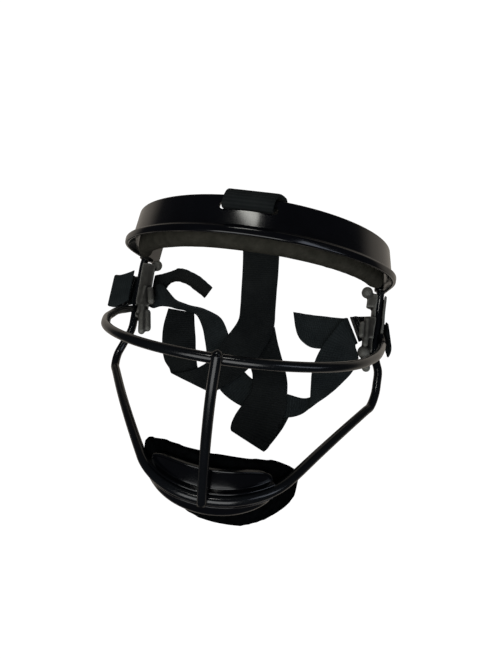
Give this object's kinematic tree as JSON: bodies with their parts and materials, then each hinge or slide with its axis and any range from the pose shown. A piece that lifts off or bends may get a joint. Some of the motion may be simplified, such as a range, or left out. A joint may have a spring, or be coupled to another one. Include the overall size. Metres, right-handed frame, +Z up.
{
  "type": "softball fielders mask",
  "caption": "Sports face mask of bent wire with a padded brow band, a cup under the chin and a loose harness of flat straps, lying face up.",
  "frame": {"origin": "on the surface that the mask lies on, under the middle of its box", "axes": "+Z points up, the way the face looks; +Y points from the chin to the forehead; +X is to the right of someone who looks into the face opening"},
  "size_m": [0.2174, 0.2038, 0.127],
  "materials": {
    "wire": "gloss black coating over steel wire",
    "shell": "gloss black",
    "pad": "matte brown-grey imitation leather over foam",
    "rubber": "matte brown-grey",
    "fleece": "black fleece over foam",
    "webbing": "dark grey ribbed elastic webbing",
    "slider": "black moulded plastic"
  },
  "bodies": {
    "root": {"wire_cage": "wire", "brow_band": "shell", "brow_pad": "pad", "left_bumper": "rubber", "right_bumper": "rubber", "chin_cup": "shell", "chin_pad": "fleece", "top_strap": "webbing", "right_yoke_strap": "webbing", "back_strap": "webbing", "right_side_strap": "webbing", "left_strap_tail": "webbing", "left_loop_strap": "webbing", "right_loop_strap": "webbing", "left_slider": "slider", "right_slider": "slider"}
  },
  "joints": []
}
